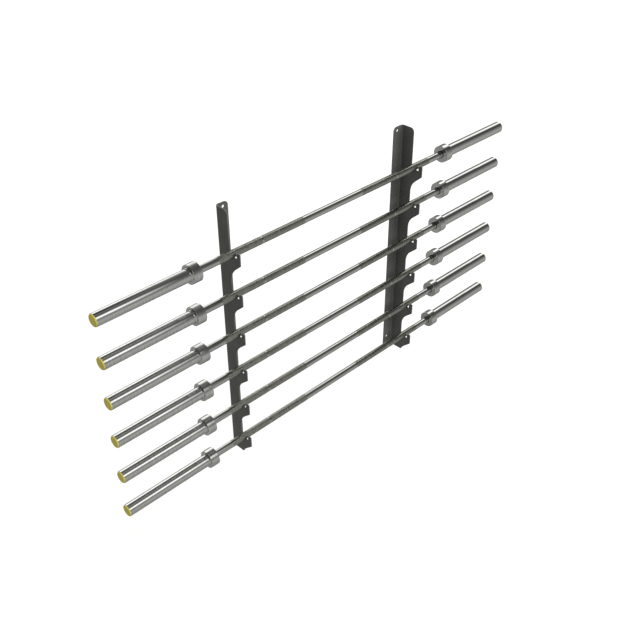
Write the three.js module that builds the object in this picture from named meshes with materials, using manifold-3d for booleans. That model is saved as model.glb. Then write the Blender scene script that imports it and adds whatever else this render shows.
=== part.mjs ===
// Wall rack that stores six barbells one above the other, with its bars in place.
// Two mirrored uprights are bent from steel sheet, each with a flange on the wall and a web with six hooks.
// Each bar has a one-piece shaft, and two sleeves that turn on its ends.
// Millimetres. +X runs along the bars, +Y into the wall and +Z up.
// The origin is on the wall face of the left upright, on its flange's centre line, at mid height.

import * as THREE from 'three';
import { mergeVertices } from 'three/addons/utils/BufferGeometryUtils.js';
import Module from 'manifold-3d';

const wasm = await Module();
wasm.setup();

// Rack layout
const barCount = 6;
const hookPitch = 176;
const topMargin = 164;
const barStandoff = 87;
const uprightSpread = 1017;

// Bent sheet of an upright
const sheetThickness = 4;
const flangeWidth = 57;
const bendInnerRadius = 8;
const webCornerRadius = 18;
const flangeCornerRadius = 18;
const bottomTail = 4;

// Wall holes of an upright, in the middle of the flange's flat
const wallHoleRadius = 6;
const topHoleInset = 18;
const bottomHoleInset = 58;

// Hook, with its heights measured from the axis of the bar that it carries
const webClearance = 6;
const tipClearance = 2.5;
const tipThickness = 19;
const tipRise = 8;
const hookDrop = 41;
const undersideAngle = (7 * Math.PI) / 30;
const seatSlope = Math.PI / 18;
const seatRearFillet = 7;
const seatFrontFillet = 1.5;
const tipInnerFillet = 12;
const tipOuterFillet = 4;
const hookNoseFillet = 6;
const undersideFillet = 68;

// Bar
const barLength = 2200;
const gripLength = 1348;
const shaftRadius = 15;
const smoothDrop = 0.4;
const spigotRadius = 13;
const knurlStart = 162;
const neckLength = 93;
const knurlChamfer = 0.6;
const ringMarkCentre = 374;
const ringMarkWidth = 6;
const ringMarkDepth = 0.5;
const sleeveRadius = 25;
const collarRadius = 37.5;
const collarWidth = 39;
const collarChamfer = 1.5;
const shoulderFillet = 5;
const sleeveEndChamfer = 0.8;
const bushingLength = 60;
const bushingWall = 3.5;
const counterboreDepth = 44;
const counterboreRadius = 20;
const capLip = 3.5;
const capRadius = 24;
const capEdgeRadius = 3.2;
const capPlugDepth = 12;

// Retaining ring at the end of the shaft
const ringThickness = 2.5;
const ringRadius = 17;
const ringMouthAngle = Math.PI / 5;
const grooveDepth = 1.5;
const spigotTail = 6;

// Clearances
const seatClearance = 0.3;
const runningClearance = 0.3;
const pressClearance = 0.3;
const shoulderPlay = 0.5;
const ringPlay = 0.3;
const grooveClearance = 0.2;
const cutOverrun = 5;

// Facets of the turned pieces, and the angle of one facet on a sheet corner
const turnedSides = 20;
const shaftSides = 16;
const innerSides = 12;
const holeSides = 16;
const capEdgeSteps = 3;
const shoulderFilletSteps = 3;
const cornerStep = Math.PI / 12;

// Sizes worked out from those above
const webDepth = barStandoff - shaftRadius - webClearance;
const tipInnerReach = barStandoff + shaftRadius + tipClearance;
const hookReach = tipInnerReach + tipThickness;
const undersideDrop = hookDrop + (hookReach - webDepth) * Math.tan(undersideAngle);
const bottomMargin = undersideDrop + bottomTail;
const uprightHeight = topMargin + (barCount - 1) * hookPitch + bottomMargin;
const topEdge = uprightHeight / 2;
const bottomEdge = -uprightHeight / 2;
const uprightStep = uprightSpread - flangeWidth;
const bendOuterRadius = bendInnerRadius + sheetThickness;
const wallHoleOffset = bendOuterRadius / 2;
const collarFace = gripLength / 2;
const knurlEnd = collarFace - neckLength;
const sleeveStart = collarFace + collarWidth;
const sleeveEnd = barLength / 2 - capLip;
const sleeveShoulder = sleeveEnd - counterboreDepth;
const bushingSeatRadius = spigotRadius + runningClearance + bushingWall + pressClearance;

// Finishes
const powderCoat = new THREE.MeshStandardMaterial({ color: 0x434442, roughness: 0.6, metalness: 0.1 });
const knurledSteel = new THREE.MeshStandardMaterial({ color: 0x8e8f86, roughness: 0.4, metalness: 1 });
const chrome = new THREE.MeshStandardMaterial({ color: 0xd4d7d4, roughness: 0.12, metalness: 1 });
const bronze = new THREE.MeshStandardMaterial({ color: 0xa87a3e, roughness: 0.4, metalness: 1 });
const springSteel = new THREE.MeshStandardMaterial({ color: 0x55585a, roughness: 0.35, metalness: 1 });
const yellowPlastic = new THREE.MeshStandardMaterial({ color: 0xb3a136, roughness: 0.45, metalness: 0 });

// Height of a bar's axis in the part's frame, the top bar first
function barHeight(index) {
  return topEdge - topMargin - index * hookPitch;
}

// A bore with flat sides is drawn round its circle, so that its flats keep the true radius
function boreRadius(radius, sides) {
  return radius / Math.cos(Math.PI / sides);
}

// Closed outline from corners [u, v, radius], with each corner rounded to its radius
function roundedOutline(corners) {
  const points = [];
  corners.forEach(([u, v, radius], index) => {
    const here = new THREE.Vector2(u, v);
    if (!radius) {
      points.push(here);
      return;
    }
    const before = corners[(index + corners.length - 1) % corners.length];
    const after = corners[(index + 1) % corners.length];
    const back = new THREE.Vector2(before[0], before[1]).sub(here).normalize();
    const ahead = new THREE.Vector2(after[0], after[1]).sub(here).normalize();
    const half = Math.acos(THREE.MathUtils.clamp(back.dot(ahead), -1, 1)) / 2;
    const start = here.clone().addScaledVector(back, radius / Math.tan(half));
    const centre = here.clone().addScaledVector(back.clone().add(ahead).normalize(), radius / Math.sin(half));
    const sweep = (Math.PI - 2 * half) * Math.sign(ahead.cross(back));
    const steps = Math.max(2, Math.ceil(Math.abs(sweep) / cornerStep));
    for (let step = 0; step <= steps; step += 1) {
      points.push(start.clone().rotateAround(centre, (sweep * step) / steps));
    }
  });
  return new THREE.Shape(points);
}

// Prism of an outline, with the outline's two axes and its depth laid along the given directions
function prism(outline, depth, origin, uAxis, vAxis) {
  const geometry = new THREE.ExtrudeGeometry(outline, { depth, bevelEnabled: false, curveSegments: holeSides });
  const basis = new THREE.Matrix4().makeBasis(uAxis, vAxis, uAxis.clone().cross(vAxis));
  geometry.applyMatrix4(basis.setPosition(origin));
  return geometry;
}

function toSolid(geometry) {
  const bare = geometry.clone();
  bare.deleteAttribute('normal');
  bare.deleteAttribute('uv');
  const merged = mergeVertices(bare, 1e-4);
  const vertProperties = new Float32Array(merged.attributes.position.array);
  const triVerts = new Uint32Array(merged.index.array);
  return new wasm.Manifold(new wasm.Mesh({ numProp: 3, vertProperties, triVerts }));
}

function toGeometry(solid) {
  const mesh = solid.getMesh();
  const geometry = new THREE.BufferGeometry();
  geometry.setAttribute('position', new THREE.BufferAttribute(new Float32Array(mesh.vertProperties), 3));
  geometry.setIndex(new THREE.BufferAttribute(new Uint32Array(mesh.triVerts), 1));
  geometry.computeVertexNormals();
  return geometry;
}

const alongX = new THREE.Vector3(1, 0, 0);
const outward = new THREE.Vector3(0, -1, 0);
const upward = new THREE.Vector3(0, 0, 1);

// Section of the bent sheet seen from above, where side is -1 for a web on the left and 1 on the right
function bentSection(side) {
  const webFace = (side * flangeWidth) / 2;
  const webInner = webFace - side * sheetThickness;
  const freeEdge = (-side * flangeWidth) / 2;
  const blankReach = -(hookReach + cutOverrun);
  return roundedOutline([
    [freeEdge, 0, 0],
    [webFace, 0, bendOuterRadius],
    [webFace, blankReach, 0],
    [webInner, blankReach, 0],
    [webInner, -sheetThickness, bendInnerRadius],
    [freeEdge, -sheetThickness, 0],
  ]);
}

// Height of a hook's seat at a distance from the wall: a slope under the shaft that falls towards the tip
function seatHeight(reach, height) {
  const drop = (shaftRadius + seatClearance) / Math.cos(seatSlope);
  return height - drop - (reach - barStandoff) * Math.tan(seatSlope);
}

// Corners of one hook from its seat round to the web below it, at the height of its bar
function hookCorners(height) {
  return [
    [webDepth, seatHeight(webDepth, height), seatRearFillet],
    [tipInnerReach, seatHeight(tipInnerReach, height), seatFrontFillet],
    [tipInnerReach, height + tipRise, tipInnerFillet],
    [hookReach, height + tipRise, tipOuterFillet],
    [hookReach, height - hookDrop, hookNoseFillet],
    [webDepth, height - undersideDrop, undersideFillet],
  ];
}

// Side outline of an upright as distance from the wall and height, open past the wall and the bottom edge
function webOutline() {
  const corners = [
    [-cutOverrun, topEdge, 0],
    [webDepth, topEdge, webCornerRadius],
  ];
  for (let index = 0; index < barCount; index += 1) {
    corners.push(...hookCorners(barHeight(index)));
  }
  const past = bottomEdge - undersideFillet - cutOverrun;
  corners.push([webDepth, past, 0]);
  corners.push([-cutOverrun, past, 0]);
  return roundedOutline(corners.reverse());
}

// Front outline of an upright: round free corners, and two wall holes off centre, away from the bend
function flangeOutline(side) {
  const freeEdge = (-side * flangeWidth) / 2;
  const pastWeb = side * (flangeWidth / 2 + cutOverrun);
  const corners = [
    [freeEdge, bottomEdge, flangeCornerRadius],
    [pastWeb, bottomEdge, 0],
    [pastWeb, topEdge, 0],
    [freeEdge, topEdge, flangeCornerRadius],
  ];
  const outline = roundedOutline(side < 0 ? corners.reverse() : corners);
  for (const height of [topEdge - topHoleInset, bottomEdge + bottomHoleInset]) {
    const hole = new THREE.Path();
    hole.absarc(-side * wallHoleOffset, height, boreRadius(wallHoleRadius, holeSides), 0, 2 * Math.PI, true);
    outline.holes.push(hole);
  }
  return outline;
}

// One upright: a bent blank trimmed to its side outline and its front outline
function upright(name, side) {
  const width = flangeWidth + 2 * cutOverrun;
  const reach = hookReach + 3 * cutOverrun;
  const bent = new THREE.ExtrudeGeometry(bentSection(side), { depth: uprightHeight, bevelEnabled: false });
  bent.translate(0, 0, bottomEdge);
  const sideTrim = prism(webOutline(), width, new THREE.Vector3(width / 2, 0, 0), outward, upward);
  const frontStart = new THREE.Vector3(0, cutOverrun, 0);
  const frontTrim = prism(flangeOutline(side), reach, frontStart, alongX, upward);
  const solid = toSolid(bent).intersect(toSolid(sideTrim)).intersect(toSolid(frontTrim));
  const mesh = new THREE.Mesh(toGeometry(solid), powderCoat);
  mesh.name = name;
  return mesh;
}

// Turned piece from points [distance along the bar, radius], which close on themselves or end on the axis
function turned(name, points, sides, material) {
  const profile = points.map(([along, radius]) => new THREE.Vector2(radius, along));
  const mesh = new THREE.Mesh(new THREE.LatheGeometry(profile, sides), material);
  mesh.name = name;
  return mesh;
}

// Shaft: smooth middle, knurled grips with a ring mark, smooth necks, and spigots with a ring groove
function shaft(name) {
  const shoulder = collarFace - shoulderPlay;
  const smoothRadius = shaftRadius - smoothDrop;
  const markRadius = shaftRadius - ringMarkDepth;
  const markStart = ringMarkCentre - ringMarkWidth / 2;
  const markEnd = ringMarkCentre + ringMarkWidth / 2;
  const grooveStart = sleeveShoulder + ringPlay - grooveClearance;
  const grooveEnd = sleeveShoulder + ringPlay + ringThickness + grooveClearance;
  const half = [
    [knurlStart, smoothRadius],
    [knurlStart + knurlChamfer, shaftRadius],
    [markStart - knurlChamfer, shaftRadius],
    [markStart, markRadius],
    [markEnd, markRadius],
    [markEnd + knurlChamfer, shaftRadius],
    [knurlEnd - knurlChamfer, shaftRadius],
    [knurlEnd, smoothRadius],
    [shoulder, smoothRadius],
    [shoulder, spigotRadius],
    [grooveStart, spigotRadius],
    [grooveStart, spigotRadius - grooveDepth],
    [grooveEnd, spigotRadius - grooveDepth],
    [grooveEnd, spigotRadius],
    [grooveEnd + spigotTail, spigotRadius],
    [grooveEnd + spigotTail, 0],
  ];
  const mirrored = half.map(([along, radius]) => [-along, radius]).reverse();
  const mesh = turned(name, [...mirrored, ...half], shaftSides, knurledSteel);
  mesh.rotation.z = -Math.PI / 2;
  return mesh;
}

// Sleeve with its collar and a fillet between them, bored for the bushing, the ring and the cap
function sleeve(name) {
  const seat = boreRadius(bushingSeatRadius, turnedSides);
  const land = boreRadius(spigotRadius + runningClearance, turnedSides);
  const counterbore = boreRadius(counterboreRadius, turnedSides);
  const points = [
    [collarFace, seat],
    [collarFace, collarRadius - collarChamfer],
    [collarFace + collarChamfer, collarRadius],
    [sleeveStart - collarChamfer, collarRadius],
    [sleeveStart, collarRadius - collarChamfer],
  ];
  for (let step = 0; step <= shoulderFilletSteps; step += 1) {
    const turn = (step / shoulderFilletSteps) * (Math.PI / 2);
    const along = sleeveStart + shoulderFillet * (1 - Math.cos(turn));
    points.push([along, sleeveRadius + shoulderFillet * (1 - Math.sin(turn))]);
  }
  points.push(
    [sleeveEnd - sleeveEndChamfer, sleeveRadius],
    [sleeveEnd, sleeveRadius - sleeveEndChamfer],
    [sleeveEnd, counterbore],
    [sleeveShoulder, counterbore],
    [sleeveShoulder, land],
    [collarFace + bushingLength, land],
    [collarFace + bushingLength, seat],
    [collarFace, seat],
  );
  return turned(name, points, turnedSides, chrome);
}

// Plain bushing pressed into the collar end of a sleeve
function bushing(name) {
  const bore = boreRadius(spigotRadius + runningClearance, innerSides);
  const outer = bushingSeatRadius - pressClearance;
  const points = [
    [collarFace, bore],
    [collarFace, outer],
    [collarFace + bushingLength, outer],
    [collarFace + bushingLength, bore],
    [collarFace, bore],
  ];
  return turned(name, points, innerSides, bronze);
}

// End cap: a lip with a round edge on the sleeve's end, and a plug that fills the counterbore's mouth
function endCap(name) {
  const face = barLength / 2;
  const plug = counterboreRadius - pressClearance;
  const points = [
    [sleeveEnd - capPlugDepth, 0],
    [sleeveEnd - capPlugDepth, plug],
    [sleeveEnd, plug],
    [sleeveEnd, capRadius],
  ];
  for (let step = 0; step <= capEdgeSteps; step += 1) {
    const turn = (step / capEdgeSteps) * (Math.PI / 2);
    const along = face - capEdgeRadius * (1 - Math.sin(turn));
    points.push([along, capRadius - capEdgeRadius * (1 - Math.cos(turn))]);
  }
  points.push([face, 0]);
  return turned(name, points, turnedSides, yellowPlastic);
}

// Open spring ring that sits in the shaft's groove and holds the sleeve on
function retainingRing(name) {
  const inner = spigotRadius - grooveDepth + grooveClearance;
  const start = ringMouthAngle / 2;
  const end = 2 * Math.PI - ringMouthAngle / 2;
  const outline = new THREE.Shape();
  outline.absarc(0, 0, ringRadius, start, end, false);
  outline.absarc(0, 0, boreRadius(inner, innerSides), end, start, true);
  const geometry = new THREE.ExtrudeGeometry(outline, {
    depth: ringThickness,
    bevelEnabled: false,
    curveSegments: innerSides,
  });
  const mesh = new THREE.Mesh(geometry, springSteel);
  mesh.name = name;
  mesh.rotation.x = -Math.PI / 2;
  mesh.position.y = sleeveShoulder + ringPlay;
  return mesh;
}

// One end of a bar, drawn along +Y and turned to the left or the right
function barEnd(prefix, side) {
  const label = side < 0 ? 'left' : 'right';
  const end = new THREE.Group();
  end.add(sleeve(`${prefix}_sleeve_${label}`));
  end.add(bushing(`${prefix}_bushing_${label}`));
  end.add(endCap(`${prefix}_end_cap_${label}`));
  end.add(retainingRing(`${prefix}_retaining_ring_${label}`));
  end.rotation.z = (-side * Math.PI) / 2;
  return end;
}

function barbell(index) {
  const prefix = `bar_${index + 1}`;
  const bar = new THREE.Group();
  bar.add(shaft(`${prefix}_shaft`));
  bar.add(barEnd(prefix, -1));
  bar.add(barEnd(prefix, 1));
  bar.position.set(uprightStep / 2, -barStandoff, barHeight(index));
  return bar;
}

const rack = new THREE.Group();
rack.add(upright('upright_left', -1));
const rightUpright = upright('upright_right', 1);
rightUpright.position.x = uprightStep;
rack.add(rightUpright);
for (let index = 0; index < barCount; index += 1) {
  rack.add(barbell(index));
}

export default rack;
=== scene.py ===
import math

import bpy
from mathutils import Matrix, Vector


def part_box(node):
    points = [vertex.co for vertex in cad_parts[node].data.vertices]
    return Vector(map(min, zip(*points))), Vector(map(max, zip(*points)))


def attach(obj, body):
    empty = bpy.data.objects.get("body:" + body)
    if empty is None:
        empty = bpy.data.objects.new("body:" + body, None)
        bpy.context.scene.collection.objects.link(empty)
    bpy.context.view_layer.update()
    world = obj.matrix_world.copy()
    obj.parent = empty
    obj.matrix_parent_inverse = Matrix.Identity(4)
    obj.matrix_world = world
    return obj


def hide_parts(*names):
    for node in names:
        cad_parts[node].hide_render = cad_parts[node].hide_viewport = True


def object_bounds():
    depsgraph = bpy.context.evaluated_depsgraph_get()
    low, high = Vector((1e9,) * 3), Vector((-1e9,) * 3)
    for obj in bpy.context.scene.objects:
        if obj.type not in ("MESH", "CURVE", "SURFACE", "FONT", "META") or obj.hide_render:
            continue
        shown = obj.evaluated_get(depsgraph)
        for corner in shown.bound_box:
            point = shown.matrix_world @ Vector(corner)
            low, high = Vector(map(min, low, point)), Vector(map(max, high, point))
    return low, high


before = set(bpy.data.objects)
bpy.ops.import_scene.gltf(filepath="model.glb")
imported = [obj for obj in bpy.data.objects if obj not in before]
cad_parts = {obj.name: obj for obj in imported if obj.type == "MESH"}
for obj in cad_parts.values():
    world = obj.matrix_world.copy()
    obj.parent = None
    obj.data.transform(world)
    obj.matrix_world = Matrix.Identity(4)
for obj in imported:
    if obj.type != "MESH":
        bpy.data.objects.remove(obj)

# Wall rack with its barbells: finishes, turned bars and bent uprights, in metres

cad_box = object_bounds()

# Sizes along a bar are measured from its middle
BAR_COUNT = 6
KNURL_RADIUS = 0.015
SMOOTH_RADIUS = 0.0146
KNURL_START = 0.162
KNURL_END = 0.581
KNURL_CHAMFER = 0.0006
RING_MARK = 0.374
RING_MARK_WIDTH = 0.008
RING_MARK_RADIUS = 0.0145
SHAFT_GAP = 0.0005
SPIGOT_RADIUS = 0.013
SPIGOT_END = 1.061
SPIGOT_CHAMFER = 0.001

COLLAR_FACE = 0.674
COLLAR_WIDTH = 0.039
COLLAR_RADIUS = 0.0375
COLLAR_EDGE = 0.0015
FACE_RECESS = 0.0004
RECESS_INNER_RADIUS = 0.0192
RECESS_OUTER_RADIUS = 0.0342
SHOULDER_FILLET = 0.005
SLEEVE_RADIUS = 0.025
SLEEVE_END = 1.0965
SLEEVE_EDGE = 0.0009
SLEEVE_BORE = 0.0171
COUNTERBORE_RADIUS = 0.0206
COUNTERBORE_DEPTH = 0.013

BUSHING_SET_BACK = 0.005
BUSHING_DEPTH = 0.06
BUSHING_GAP = 0.0003
BUSHING_EDGE = 0.0004

CAP_RADIUS = 0.024
CAP_EDGE = 0.0032
CAP_GROOVE = 0.0012
CAP_DISH_EDGE = 0.0018
CAP_DISH = 0.0003
PLUG_RADIUS = 0.0197
PLUG_LENGTH = 0.012
PLUG_CHAMFER = 0.0005
BAR_END = 1.1

# Facets of the turned pieces, and the size of the knurl
TURNED_STEPS = 96
KNURL_ROWS = 62
KNURL_PITCH = 0.0015
KNURL_DEPTH = 0.0003

# Angles in degrees up to which edges are shaded smooth, and distances under which corners merge
TURNED_SMOOTH_ANGLE = 28
SHEET_SMOOTH_ANGLE = 50
TURNED_MERGE = 0.000001
SHEET_MERGE = 0.00001

# Bent sheet, and the zones in which its cut edges are looked for
SHEET_EDGE_RADIUS = 0.0005
WALL_FACE = cad_box[1][1]
FLANGE_ZONE = 0.0125
HOLE_MARGIN = 0.011
FREE_EDGE_MARGIN = 0.001

# Powder coat: painted light from below on the lowest hooks, a thinner coat with a painted sheen on
# cut edges, and where the bars rub
PAINTED_LOW_LIGHT = 0.06
EDGE_WEAR_AND_SHEEN = 0.42
RUB_START = 0.0152
RUB_END = 0.0163
RUB_RAGGEDNESS = 0.003

top_low, top_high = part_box("bar_1_shaft")
TOP_AXIS = Vector([(low + high) / 2 for low, high in zip(top_low, top_high)])
second_low, second_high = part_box("bar_2_shaft")
PITCH = TOP_AXIS.z - (second_low[2] + second_high[2]) / 2

# Camera from the top bar's middle, and the studio
CAMERA_PLACE = Vector((-2.2270, -2.1590, 1.6466))
FLOOR_HEIGHT = cad_box[0][2] - 0.75
FLOOR_SIZE = 80
FLOOR_GLOW = 0.3
TENT_SIZE = (120, 48, 24)
TENT_LIFT = 0.01
LAMP_LEVEL = 1.75
LAMP_SPREAD = 60
LAMP_SIDE = Vector((0.10, -0.70, 0.71))


def deselect_everything():
    bpy.ops.object.select_all(action="DESELECT")


def make_active(piece):
    deselect_everything()
    piece.select_set(True)
    bpy.context.view_layer.objects.active = piece


def smooth_evenly(piece, angle):
    """Smooth edges up to an angle in degrees, with broad faces shaded straight up to their rims."""
    bpy.ops.object.shade_smooth_by_angle(angle=math.radians(angle))
    level = piece.modifiers.new("broad_faces_stay_straight", "WEIGHTED_NORMAL")
    level.keep_sharp = True
    bpy.ops.object.modifier_apply(modifier=level.name)


# Camera at the photograph's viewing angle

def add_camera():
    azimuth = math.radians(-45)
    elevation = math.atan(1 / math.sqrt(2))
    back = Vector((
        math.sin(azimuth) * math.cos(elevation),
        -math.cos(azimuth) * math.cos(elevation),
        math.sin(elevation),
    ))
    lens = bpy.data.cameras.new("view_of_the_rack")
    lens.sensor_width = 36
    lens.lens = 50
    lens.clip_end = 100
    camera = bpy.data.objects.new("view_of_the_rack", lens)
    camera.location = TOP_AXIS + CAMERA_PLACE
    camera.rotation_euler = back.to_track_quat("Z", "Y").to_euler()
    bpy.context.scene.collection.objects.link(camera)
    bpy.context.scene.camera = camera


# Finishes

class Graph:
    """A tree of shading nodes, and short ways to add and join them."""

    def __init__(self, tree):
        self.nodes = tree.nodes
        self.links = tree.links

    def add(self, kind, **settings):
        node = self.nodes.new(kind)
        for name, value in settings.items():
            setattr(node, name, value)
        return node

    def join(self, source, target):
        self.links.new(source, target)

    def place(self, stretch=(1, 1, 1)):
        coordinates = self.add("ShaderNodeTexCoord")
        mapping = self.add("ShaderNodeMapping")
        mapping.inputs["Scale"].default_value = stretch
        self.join(coordinates.outputs["Object"], mapping.inputs["Vector"])
        return mapping.outputs["Vector"]

    def noise(self, vector, scale, detail, roughness=0.5):
        noise = self.add("ShaderNodeTexNoise")
        noise.inputs["Scale"].default_value = scale
        noise.inputs["Detail"].default_value = detail
        noise.inputs["Roughness"].default_value = roughness
        self.join(vector, noise.inputs["Vector"])
        return noise.outputs["Fac"]

    def spread(self, value, low, high, start=0.3, end=0.7):
        spread = self.add("ShaderNodeMapRange")
        spread.inputs["From Min"].default_value = start
        spread.inputs["From Max"].default_value = end
        spread.inputs["To Min"].default_value = low
        spread.inputs["To Max"].default_value = high
        self.join(value, spread.inputs["Value"])
        return spread.outputs["Result"]

    def math(self, operation, first, second=None):
        node = self.add("ShaderNodeMath", operation=operation)
        for socket, value in zip(node.inputs, (first, second)):
            if isinstance(value, (int, float)):
                socket.default_value = value
            elif value is not None:
                self.join(value, socket)
        return node.outputs["Value"]

    def blend(self, share, first, second):
        node = self.add("ShaderNodeMix", data_type="RGBA")
        self.join(share, node.inputs[0])
        for socket, colour in ((node.inputs[6], first), (node.inputs[7], second)):
            if isinstance(colour, tuple):
                socket.default_value = (*colour, 1)
            else:
                self.join(colour, socket)
        return node.outputs[2]

    def bump(self, height, distance, strength, under=None):
        bump = self.add("ShaderNodeBump")
        bump.inputs["Distance"].default_value = distance
        bump.inputs["Strength"].default_value = strength
        self.join(height, bump.inputs["Height"])
        if under is not None:
            self.join(under, bump.inputs["Normal"])
        return bump.outputs["Normal"]


class Finish(Graph):
    """The nodes of a new material, with its shader."""

    def __init__(self, name):
        self.material = bpy.data.materials.new(name)
        self.material.use_nodes = True
        super().__init__(self.material.node_tree)
        self.shader = self.nodes["Principled BSDF"]

    def colour(self, share, first, second):
        """Colour the shader between two colours."""
        self.join(self.blend(share, first, second), self.shader.inputs["Base Color"])

    def roughen(self, pattern, low, high):
        self.join(self.spread(pattern, low, high), self.shader.inputs["Roughness"])

    def emboss(self, height, distance, strength):
        self.join(self.bump(height, distance, strength), self.shader.inputs["Normal"])

    def metallic(self):
        self.shader.inputs["Metallic"].default_value = 1


def black_powder_coat(name, edge_wear_and_sheen):
    """Satin black coat, rubbed where the bars lie, lighter towards the bottom as painted light from
    below, and on cut edges thinner with a painted sheen, as far as the given share says.
    """
    finish = Finish(name)
    place = finish.place()
    clouds = finish.noise(place, 9, 4)
    specks = finish.spread(finish.noise(place, 700, 2), 0, 0.35, 0.5, 0.75)
    dark = finish.blend(finish.spread(clouds, 0, 1), (0.050, 0.051, 0.047), (0.060, 0.061, 0.0565))
    speckled = finish.blend(specks, dark, (0.09, 0.091, 0.087))

    # Painted light from below: the coat turns lighter towards the lowest hooks, in uneven patches
    parts = finish.add("ShaderNodeSeparateXYZ")
    finish.join(place, parts.inputs["Vector"])
    low_light_by_height = finish.spread(parts.outputs["Z"], PAINTED_LOW_LIGHT, 0, cad_box[0][2], cad_box[1][2])
    painted_low_light_share = finish.math("ADD", low_light_by_height, finish.spread(clouds, -PAINTED_LOW_LIGHT / 4, PAINTED_LOW_LIGHT / 4))
    coat = finish.blend(painted_low_light_share, speckled, (0.24, 0.235, 0.215))

    # Where the bars lie, the coat is rubbed through to the steel
    from_top = finish.math("SUBTRACT", TOP_AXIS.z + PITCH / 2, parts.outputs["Z"])
    above = finish.math("SUBTRACT", finish.math("FLOORED_MODULO", from_top, PITCH), PITCH / 2)
    across = finish.math("SUBTRACT", parts.outputs["Y"], TOP_AXIS.y)
    above_squared = finish.math("MULTIPLY", above, above)
    across_squared = finish.math("MULTIPLY", across, across)
    distance = finish.math("SQRT", finish.math("ADD", above_squared, across_squared))
    uneven = finish.math("SUBTRACT", finish.noise(place, 380, 4, 0.7), 0.5)
    ragged = finish.math("ADD", distance, finish.math("MULTIPLY", uneven, RUB_RAGGEDNESS))
    rub_and_edge_sheen = finish.spread(ragged, 0.85, 0, RUB_START, RUB_END)
    # On cut edges: a thinner coat and a painted sheen, in lighter, more metallic patches
    if edge_wear_and_sheen:
        thin_coat_and_sheen = finish.spread(finish.noise(place, 90, 4), edge_wear_and_sheen * 0.75, edge_wear_and_sheen * 1.25)
        rub_and_edge_sheen = finish.math("MAXIMUM", rub_and_edge_sheen, thin_coat_and_sheen)

    # Orange peel, with a fine grain over it
    peel = finish.bump(finish.noise(place, 420, 2), 0.0002, 0.35)
    grained = finish.bump(finish.noise(place, 1500, 2), 0.00005, 0.3, peel)
    finish.colour(rub_and_edge_sheen, coat, (0.24, 0.235, 0.22))
    finish.join(finish.math("MULTIPLY", rub_and_edge_sheen, 0.9), finish.shader.inputs["Metallic"])
    finish.roughen(clouds, 0.46, 0.56)
    finish.join(grained, finish.shader.inputs["Normal"])
    return finish.material


def hard_chrome():
    """Polished chrome with fine turning lines, and a few smudges."""
    finish = Finish("hard_chrome")
    smudges = finish.noise(finish.place(), 14, 5, 0.6)
    turning = finish.noise(finish.place((1, 0.02, 0.02)), 600, 3)
    lines = finish.spread(finish.noise(finish.place((1, 0.06, 0.06)), 320, 2), 0, 1, 0.35, 0.65)
    finish.colour(lines, (0.655, 0.665, 0.655), (0.795, 0.80, 0.79))
    finish.metallic()
    finish.roughen(smudges, 0.02, 0.06)
    finish.emboss(turning, 0.000004, 0.2)
    return finish.material


def smooth_shaft_steel():
    finish = Finish("smooth_shaft_steel")
    smudges = finish.noise(finish.place(), 18, 5, 0.6)
    turning = finish.noise(finish.place((1, 0.02, 0.02)), 700, 3)
    finish.colour(finish.spread(smudges, 0, 1), (0.63, 0.635, 0.62), (0.70, 0.70, 0.685))
    finish.metallic()
    finish.roughen(smudges, 0.04, 0.09)
    finish.emboss(turning, 0.000005, 0.2)
    return finish.material


def knurled_steel():
    """Diamonds cut in rows round the bar, darker between them."""
    finish = Finish("knurled_steel")
    unrolled = finish.add("ShaderNodeUVMap", uv_map="unrolled")
    parts = finish.add("ShaderNodeSeparateXYZ")
    finish.join(unrolled.outputs["UV"], parts.inputs["Vector"])
    along = finish.math("DIVIDE", parts.outputs["X"], KNURL_PITCH)
    around = finish.math("MULTIPLY", parts.outputs["Y"], KNURL_ROWS)
    one_way = finish.math("PINGPONG", finish.math("ADD", along, around), 0.5)
    other_way = finish.math("PINGPONG", finish.math("SUBTRACT", along, around), 0.5)
    diamonds = finish.math("MULTIPLY", finish.math("MINIMUM", one_way, other_way), 2)
    worn = finish.noise(finish.place(), 30, 4)
    ribs = finish.noise(finish.place((1, 0.05, 0.05)), 260, 2)
    ribbed = finish.math("ADD", diamonds, finish.spread(ribs, -0.12, 0.12))
    diamond_share = finish.spread(ribbed, 0, 1, 0.05, 0.6)
    steel = finish.blend(finish.spread(worn, 0, 1), (0.535, 0.535, 0.49), (0.635, 0.635, 0.585))
    # Between the diamonds the colour is darker than on them
    finish.colour(diamond_share, (0.24, 0.238, 0.215), steel)
    finish.metallic()
    finish.roughen(worn, 0.23, 0.33)
    finish.emboss(diamonds, KNURL_DEPTH, 0.22)
    return finish.material


def yellow_cap_plastic():
    finish = Finish("yellow_cap_plastic")
    clouds = finish.noise(finish.place(), 60, 4)
    grain = finish.noise(finish.place(), 1800, 2)
    finish.colour(finish.spread(clouds, 0, 1), (0.345, 0.295, 0.034), (0.405, 0.35, 0.042))
    finish.roughen(clouds, 0.36, 0.46)
    finish.emboss(grain, 0.00004, 0.4)
    return finish.material


def bushing_bronze():
    finish = Finish("bushing_bronze")
    turning = finish.noise(finish.place((1, 0.05, 0.05)), 1500, 3)
    finish.colour(finish.spread(turning, 0, 1), (0.42, 0.30, 0.15), (0.52, 0.38, 0.20))
    finish.metallic()
    finish.shader.inputs["Roughness"].default_value = 0.36
    finish.emboss(turning, 0.00001, 0.5)
    return finish.material


def oiled_spring_steel():
    finish = Finish("oiled_spring_steel")
    clouds = finish.noise(finish.place(), 200, 3)
    finish.colour(finish.spread(clouds, 0, 1), (0.10, 0.105, 0.11), (0.17, 0.175, 0.18))
    finish.metallic()
    finish.roughen(clouds, 0.3, 0.42)
    return finish.material


# Turned pieces

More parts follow.
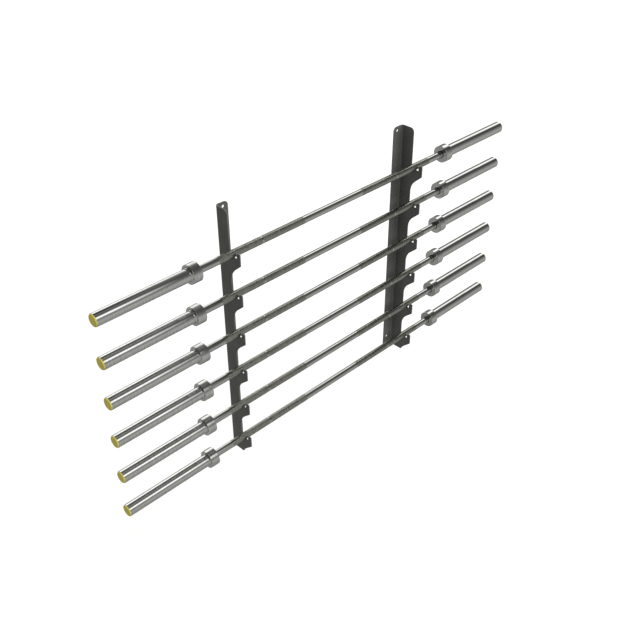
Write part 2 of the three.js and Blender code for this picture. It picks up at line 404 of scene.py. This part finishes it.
def rounded_step(start, corner, end, steps=5):
    """Points of a round corner between two square steps of a profile."""
    points = []
    for step in range(steps + 1):
        turn = step / steps * math.pi / 2
        share_out = math.sin(turn)
        share_in = 1 - math.cos(turn)
        points.append((
            start[0] + (corner[0] - start[0]) * share_out + (end[0] - corner[0]) * share_in,
            start[1] + (corner[1] - start[1]) * share_out + (end[1] - corner[1]) * share_in,
        ))
    return points


def turned_piece(name, profile, closed):
    """Draw a profile of (along, radius) points at the top bar, and spin it about the bar's axis."""
    deselect_everything()
    along, radius = profile[0]
    start = TOP_AXIS + Vector((along, 0, radius))
    bpy.ops.mesh.primitive_plane_add(size=0.001, location=start)
    piece = bpy.context.object
    piece.name = name
    piece.data.name = name
    bpy.ops.object.transform_apply(location=True, rotation=True, scale=True)
    bpy.ops.object.mode_set(mode="EDIT")
    bpy.ops.mesh.select_all(action="SELECT")
    bpy.ops.mesh.merge(type="CENTER")
    points = profile + [profile[0]] if closed else profile
    for next_along, next_radius in points[1:]:
        move = (next_along - along, 0, next_radius - radius)
        bpy.ops.mesh.extrude_region_move(TRANSFORM_OT_translate={"value": move})
        along, radius = next_along, next_radius
    bpy.ops.mesh.select_all(action="SELECT")
    bpy.ops.mesh.remove_doubles(threshold=TURNED_MERGE)
    bpy.ops.mesh.spin(steps=TURNED_STEPS, angle=math.tau, center=TOP_AXIS, axis=(1, 0, 0))
    bpy.ops.mesh.select_all(action="SELECT")
    bpy.ops.mesh.remove_doubles(threshold=TURNED_MERGE)
    bpy.ops.mesh.normals_make_consistent(inside=False)
    bpy.ops.object.mode_set(mode="OBJECT")
    smooth_evenly(piece, TURNED_SMOOTH_ANGLE)
    return piece


def on_left(profile):
    """The profile for the left end of a bar."""
    return [(-along, radius) for along, radius in profile]


def unroll(piece):
    """Store how far along and how far round the bar each corner lies, for the knurl."""
    mesh = piece.data
    layer = mesh.uv_layers.new(name="unrolled")
    for face in mesh.polygons:
        turns = []
        for corner in face.loop_indices:
            offset = mesh.vertices[mesh.loops[corner].vertex_index].co - TOP_AXIS
            turns.append(math.atan2(offset.z, offset.y) / math.tau)
        seam = max(turns) - min(turns) > 0.5
        for corner, turn in zip(face.loop_indices, turns):
            along = mesh.vertices[mesh.loops[corner].vertex_index].co.x - TOP_AXIS.x
            layer.data[corner].uv = (along, turn + 1 if seam and turn < 0 else turn)


def give_finishes(piece, finishes, choose):
    piece.data.materials.clear()
    for finish in finishes:
        piece.data.materials.append(finish)
    for face in piece.data.polygons:
        face.material_index = choose(face.center - TOP_AXIS)


def model_shaft(knurl, smooth):
    mark_start = RING_MARK - RING_MARK_WIDTH / 2
    mark_end = RING_MARK + RING_MARK_WIDTH / 2
    neck_end = COLLAR_FACE - SHAFT_GAP
    spigot_end = SPIGOT_END - SHAFT_GAP
    half = [
        (KNURL_START, SMOOTH_RADIUS),
        (KNURL_START + KNURL_CHAMFER, KNURL_RADIUS),
        (mark_start - KNURL_CHAMFER, KNURL_RADIUS),
        (mark_start, RING_MARK_RADIUS),
        (mark_end, RING_MARK_RADIUS),
        (mark_end + KNURL_CHAMFER, KNURL_RADIUS),
        (KNURL_END - KNURL_CHAMFER, KNURL_RADIUS),
        (KNURL_END, SMOOTH_RADIUS),
        (neck_end, SMOOTH_RADIUS),
        (neck_end, SPIGOT_RADIUS),
        (spigot_end - SPIGOT_CHAMFER, SPIGOT_RADIUS),
        (spigot_end, SPIGOT_RADIUS - SPIGOT_CHAMFER),
        (spigot_end, 0),
    ]
    shaft = turned_piece("bar_1_knurled_shaft", on_left(reversed(half)) + half, False)

    def choose(offset):
        along = abs(offset.x)
        on_mark = mark_start < along < mark_end
        return 0 if KNURL_START < along < KNURL_END and not on_mark else 1

    unroll(shaft)
    give_finishes(shaft, (knurl, smooth), choose)
    return shaft


def model_sleeve(chrome):
    collar_end = COLLAR_FACE + COLLAR_WIDTH
    rim = COLLAR_RADIUS - COLLAR_EDGE
    profile = [
        (COLLAR_FACE, SLEEVE_BORE),
        (COLLAR_FACE, RECESS_INNER_RADIUS),
        (COLLAR_FACE + FACE_RECESS, RECESS_INNER_RADIUS + FACE_RECESS),
        (COLLAR_FACE + FACE_RECESS, RECESS_OUTER_RADIUS - FACE_RECESS),
        (COLLAR_FACE, RECESS_OUTER_RADIUS),
    ]
    profile += rounded_step(
        (COLLAR_FACE, rim),
        (COLLAR_FACE, COLLAR_RADIUS),
        (COLLAR_FACE + COLLAR_EDGE, COLLAR_RADIUS),
    )
    profile += rounded_step(
        (collar_end - COLLAR_EDGE, COLLAR_RADIUS),
        (collar_end, COLLAR_RADIUS),
        (collar_end, rim),
    )
    profile += rounded_step(
        (collar_end, SLEEVE_RADIUS + SHOULDER_FILLET),
        (collar_end, SLEEVE_RADIUS),
        (collar_end + SHOULDER_FILLET, SLEEVE_RADIUS),
        steps=10,
    )
    profile += rounded_step(
        (SLEEVE_END - SLEEVE_EDGE, SLEEVE_RADIUS),
        (SLEEVE_END, SLEEVE_RADIUS),
        (SLEEVE_END, SLEEVE_RADIUS - SLEEVE_EDGE),
        steps=3,
    )
    profile += [
        (SLEEVE_END, COUNTERBORE_RADIUS),
        (SLEEVE_END - COUNTERBORE_DEPTH, COUNTERBORE_RADIUS),
        (SLEEVE_END - COUNTERBORE_DEPTH, SLEEVE_BORE),
    ]
    sleeve = turned_piece("bar_1_chrome_sleeve_left", on_left(profile), True)
    give_finishes(sleeve, (chrome,), lambda offset: 0)
    return sleeve


def model_end_cap(plastic):
    plug_end = SLEEVE_END - PLUG_LENGTH
    face_radius = CAP_RADIUS - CAP_EDGE
    profile = [
        (plug_end, 0),
        (plug_end, PLUG_RADIUS - PLUG_CHAMFER),
        (plug_end + PLUG_CHAMFER, PLUG_RADIUS),
        (SLEEVE_END, PLUG_RADIUS),
        (SLEEVE_END, CAP_RADIUS),
    ]
    profile += rounded_step(
        (BAR_END - CAP_EDGE, CAP_RADIUS),
        (BAR_END, CAP_RADIUS),
        (BAR_END, face_radius),
        steps=8,
    )
    profile += [
        (BAR_END, face_radius - CAP_GROOVE),
        (BAR_END - CAP_DISH, face_radius - CAP_DISH_EDGE),
        (BAR_END - CAP_DISH, 0),
    ]
    cap = turned_piece("bar_1_yellow_cap_left", on_left(profile), False)
    give_finishes(cap, (plastic,), lambda offset: 0)
    return cap


def model_bushing(bronze):
    inner = SPIGOT_RADIUS + BUSHING_GAP
    outer = SLEEVE_BORE - BUSHING_GAP
    near = COLLAR_FACE + BUSHING_SET_BACK
    far = COLLAR_FACE + BUSHING_DEPTH
    profile = [
        (near, inner + BUSHING_EDGE),
        (near, outer - BUSHING_EDGE),
        (near + BUSHING_EDGE, outer),
        (far, outer),
        (far, inner),
        (near + BUSHING_EDGE, inner),
    ]
    bushing = turned_piece("bar_1_bronze_bushing_left", on_left(profile), True)
    give_finishes(bushing, (bronze,), lambda offset: 0)
    return bushing


def placed_copy(piece, name, bar, turned_round):
    """Copy a piece of the top bar, turned end for end if asked, and lowered to its own bar."""
    to_middle = Matrix.Translation(-TOP_AXIS)
    turn = Matrix.Rotation(math.pi if turned_round else 0, 4, "Z")
    to_bar = Matrix.Translation(TOP_AXIS - Vector((0, 0, bar * PITCH)))
    copy = bpy.data.objects.new(name, piece.data.copy())
    copy.data.name = name
    copy.data.transform(to_bar @ turn @ to_middle)
    bpy.context.scene.collection.objects.link(copy)
    return copy


def stand_for(piece, node, body):
    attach(piece, body)
    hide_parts(node)


def add_bars(finishes):
    shaft = model_shaft(finishes["knurl"], finishes["smooth"])
    ends = (
        (model_sleeve(finishes["chrome"]), "chrome_sleeve", "sleeve", "chrome"),
        (model_end_cap(finishes["plastic"]), "yellow_cap", "end_cap", "yellow_plastic"),
        (model_bushing(finishes["bronze"]), "bronze_bushing", "bushing", "bronze"),
    )
    for bar in range(BAR_COUNT):
        number = bar + 1
        body = f"bar_{number}"
        piece = placed_copy(shaft, f"{body}_knurled_shaft", bar, False) if bar else shaft
        stand_for(piece, f"{body}_shaft", body)
        for side in ("left", "right"):
            for first, name, node, slot in ends:
                if bar or side == "right":
                    piece = placed_copy(first, f"{body}_{name}_{side}", bar, side == "right")
                else:
                    piece = first
                stand_for(piece, f"{body}_{node}_{side}", f"{body}_sleeve_{side}_turning")
            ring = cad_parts[f"{body}_retaining_ring_{side}"]
            ring.data.materials.clear()
            ring.data.materials.append(finishes["spring"])


# Bent uprights, with the coat rounding every cut edge

def on_cut_edge(face, low, high, free_edge):
    """Whether a face lies on the sheet's cut edge, apart from the walls of the wall holes."""
    centre, normal = face.center, face.normal
    if centre.y < WALL_FACE - FLANGE_ZONE:
        return abs(normal.x) < 0.5
    if low[2] + HOLE_MARGIN < centre.z < high[2] - HOLE_MARGIN:
        return abs(centre.x - free_edge) < FREE_EDGE_MARGIN
    return abs(normal.z) > 0.5


def add_upright(side, coat, edge_coat_and_sheen):
    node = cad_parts[f"upright_{side}"]
    upright = bpy.data.objects.new(f"bent_upright_{side}", node.data.copy())
    bpy.context.scene.collection.objects.link(upright)
    make_active(upright)
    bpy.ops.object.mode_set(mode="EDIT")
    bpy.ops.mesh.select_all(action="SELECT")
    bpy.ops.mesh.remove_doubles(threshold=SHEET_MERGE)
    bpy.ops.mesh.dissolve_limited(angle_limit=math.radians(1))
    bpy.ops.object.mode_set(mode="OBJECT")
    bevel = upright.modifiers.new("coated_edges", "BEVEL")
    bevel.width = SHEET_EDGE_RADIUS
    bevel.segments = 2
    bevel.limit_method = "ANGLE"
    bevel.angle_limit = math.radians(40)
    bpy.ops.object.modifier_apply(modifier=bevel.name)
    smooth_evenly(upright, SHEET_SMOOTH_ANGLE)
    low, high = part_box(f"upright_{side}")
    free_edge = high[0] if side == "left" else low[0]
    upright.data.materials.clear()
    upright.data.materials.append(coat)
    upright.data.materials.append(edge_coat_and_sheen)
    # Cut edges take the coat with the thinner coat and the painted sheen
    for face in upright.data.polygons:
        face.material_index = 1 if on_cut_edge(face, low, high, free_edge) else 0
    stand_for(upright, f"upright_{side}", "rack")


# Studio: pale floor, white background, soft light from above, and bands that only the metal shows

def background_rays(graph):
    """One where a ray sees the background: from the camera, a reflection or a clear material."""
    path = graph.add("ShaderNodeLightPath")
    seen = graph.math("MAXIMUM", path.outputs["Is Camera Ray"], path.outputs["Is Glossy Ray"])
    return graph.math("MAXIMUM", seen, path.outputs["Is Transmission Ray"])


def add_floor():
    bpy.ops.mesh.primitive_plane_add(size=FLOOR_SIZE, location=(TOP_AXIS.x, 0, FLOOR_HEIGHT))
    floor = bpy.context.object
    floor.name = "pale_floor"
    finish = Finish("pale_floor")
    finish.shader.inputs["Base Color"].default_value = (0.45, 0.45, 0.445, 1)
    finish.shader.inputs["Roughness"].default_value = 0.9
    finish.shader.inputs["Specular IOR Level"].default_value = 0
    finish.shader.inputs["Emission Color"].default_value = (1, 1, 1, 1)
    seen = finish.math("MULTIPLY", background_rays(finish), FLOOR_GLOW)
    finish.join(seen, finish.shader.inputs["Emission Strength"])

    # From below, the floor lets the view through to the rack
    sides = finish.add("ShaderNodeNewGeometry")
    clear = finish.add("ShaderNodeBsdfTransparent")
    one_sided = finish.add("ShaderNodeMixShader")
    finish.join(sides.outputs["Backfacing"], one_sided.inputs["Fac"])
    finish.join(finish.shader.outputs["BSDF"], one_sided.inputs[1])
    finish.join(clear.outputs["BSDF"], one_sided.inputs[2])
    finish.join(one_sided.outputs["Shader"], finish.nodes["Material Output"].inputs["Surface"])
    floor.data.materials.append(finish.material)


def add_surroundings():
    world = bpy.data.worlds.new("white_surroundings")
    bpy.context.scene.world = world
    world.use_nodes = True
    world.cycles.sampling_method = "NONE"
    surroundings = Graph(world.node_tree)
    background = surroundings.nodes["Background"]
    direction = surroundings.add("ShaderNodeTexCoord")
    parts = surroundings.add("ShaderNodeSeparateXYZ")
    surroundings.join(direction.outputs["Generated"], parts.inputs["Vector"])
    behind = surroundings.spread(parts.outputs["Y"], 0, 1, -0.3, 0.3)
    soft = surroundings.blend(behind, (0.18, 0.18, 0.18), (1.05, 1.05, 1.04))
    shown = surroundings.blend(background_rays(surroundings), soft, (1.0, 1.0, 1.0))
    surroundings.join(shown, background.inputs["Color"])


def add_overhead_light():
    """A broad soft light from above in front, which the metal doesn't show."""
    lamp = bpy.data.lights.new("overhead_light", "SUN")
    lamp.energy = math.pi * LAMP_LEVEL
    lamp.angle = math.radians(LAMP_SPREAD)
    light = bpy.data.objects.new("overhead_light", lamp)
    light.rotation_euler = LAMP_SIDE.to_track_quat("Z", "Y").to_euler()
    light.visible_glossy = False
    bpy.context.scene.collection.objects.link(light)


def bands(finish, turn, stops):
    """Brightness round the bars, from stops of (degrees from the front up, brightness)."""
    ramp = finish.add("ShaderNodeValToRGB")
    elements = ramp.color_ramp.elements
    elements.remove(elements[1])
    for index, (angle, brightness) in enumerate(stops):
        position = (angle + 180) / 360
        element = elements[0] if index == 0 else elements.new(position)
        element.position = position
        element.color = (brightness, brightness, brightness * 0.965, 1)
    finish.join(turn, ramp.inputs["Fac"])
    return ramp.outputs["Color"]


def add_reflection_tent():
    middle = FLOOR_HEIGHT + TENT_LIFT + TENT_SIZE[2] / 2
    bpy.ops.mesh.primitive_cube_add(size=1, location=(0, 0, middle), scale=TENT_SIZE)
    tent = bpy.context.object
    tent.name = "reflection_tent"
    bpy.ops.object.transform_apply(location=True, rotation=True, scale=True)
    finish = Finish("reflection_tent")
    parts = finish.add("ShaderNodeSeparateXYZ")
    outward = finish.add("ShaderNodeVectorMath", operation="NORMALIZE")
    finish.join(finish.place(), outward.inputs[0])
    finish.join(outward.outputs["Vector"], parts.inputs["Vector"])
    forward = finish.math("MULTIPLY", parts.outputs["Y"], -1)
    angle = finish.math("ARCTAN2", parts.outputs["Z"], forward)
    turn = finish.math("ADD", finish.math("DIVIDE", angle, math.tau), 0.5)
    slant = parts.outputs["X"]

    # Square on: a strip light in front above, a dark ceiling, and the white background behind
    facing = bands(finish, turn, (
        (-179, 0.25), (-100, 0.22), (-75, 0.30), (-60, 0.31), (-30, 0.42), (-16, 0.46), (-3, 0.40),
        (8, 0.27), (22, 0.24), (37, 1.35), (49, 1.5), (60, 0.22), (80, 0.10), (90, 0.25),
        (99, 0.08), (129, 0.06), (140, 1.1), (150, 1.45), (172, 1.3), (179, 0.5),
    ))
    # Between: the strip light has ended
    between = bands(finish, turn, (
        (-179, 0.22), (-100, 0.22), (-75, 0.30), (-60, 0.33), (-30, 0.40), (-16, 0.42), (-3, 0.38),
        (8, 0.28), (20, 0.18), (43, 0.10), (66, 0.085), (90, 0.11), (104, 0.14), (119, 0.25),
        (136, 0.85), (150, 1.25), (172, 1.1), (179, 0.4),
    ))
    # Towards the ends of the bars: a broad light overhead
    endways = bands(finish, turn, (
        (-179, 0.22), (-100, 0.24), (-80, 0.33), (-62, 0.34), (-30, 0.41), (-16, 0.43), (-3, 0.38),
        (8, 0.31), (20, 0.24), (32, 0.17), (43, 0.11), (60, 0.07), (80, 0.08), (88, 0.22),
        (98, 0.85), (114, 1.6), (129, 1.3), (139, 0.38), (160, 0.21), (179, 0.16),
    ))
    # Back towards the left, where the collars' faces look: a dark studio over its grey floor
    leftward = bands(finish, turn, (
        (-179, 0.15), (-150, 0.30), (-120, 0.32), (-90, 0.30), (-60, 0.34), (-30, 0.42), (-5, 0.38),
        (10, 0.25), (30, 0.10), (60, 0.06), (120, 0.06), (160, 0.08), (179, 0.10),
    ))
    front = finish.blend(finish.spread(slant, 0, 1, 0.39, 0.465), facing, between)
    right = finish.blend(finish.spread(slant, 0, 1, 0.50, 0.60), front, endways)
    shown = finish.blend(finish.spread(slant, 1, 0, -0.3, -0.1), right, leftward)
    finish.shader.inputs["Base Color"].default_value = (0, 0, 0, 1)
    finish.shader.inputs["Specular IOR Level"].default_value = 0
    finish.join(shown, finish.shader.inputs["Emission Color"])
    finish.shader.inputs["Emission Strength"].default_value = 1
    finish.material.cycles.emission_sampling = "NONE"
    tent.data.materials.append(finish.material)
    tent.visible_camera = False
    tent.visible_diffuse = False
    tent.visible_transmission = False
    tent.visible_shadow = False


add_camera()
add_surroundings()
add_overhead_light()
add_floor()
add_reflection_tent()
coat = black_powder_coat("black_powder_coat", 0)
# Coat for the cut edges: thinner, with a painted sheen
edge_coat_and_sheen = black_powder_coat("coat_on_cut_edges", EDGE_WEAR_AND_SHEEN)
for side in ("left", "right"):
    add_upright(side, coat, edge_coat_and_sheen)
add_bars({
    "knurl": knurled_steel(),
    "smooth": smooth_shaft_steel(),
    "chrome": hard_chrome(),
    "plastic": yellow_cap_plastic(),
    "bronze": bushing_bronze(),
    "spring": oiled_spring_steel(),
})
bpy.context.scene.view_settings.view_transform = "Standard"
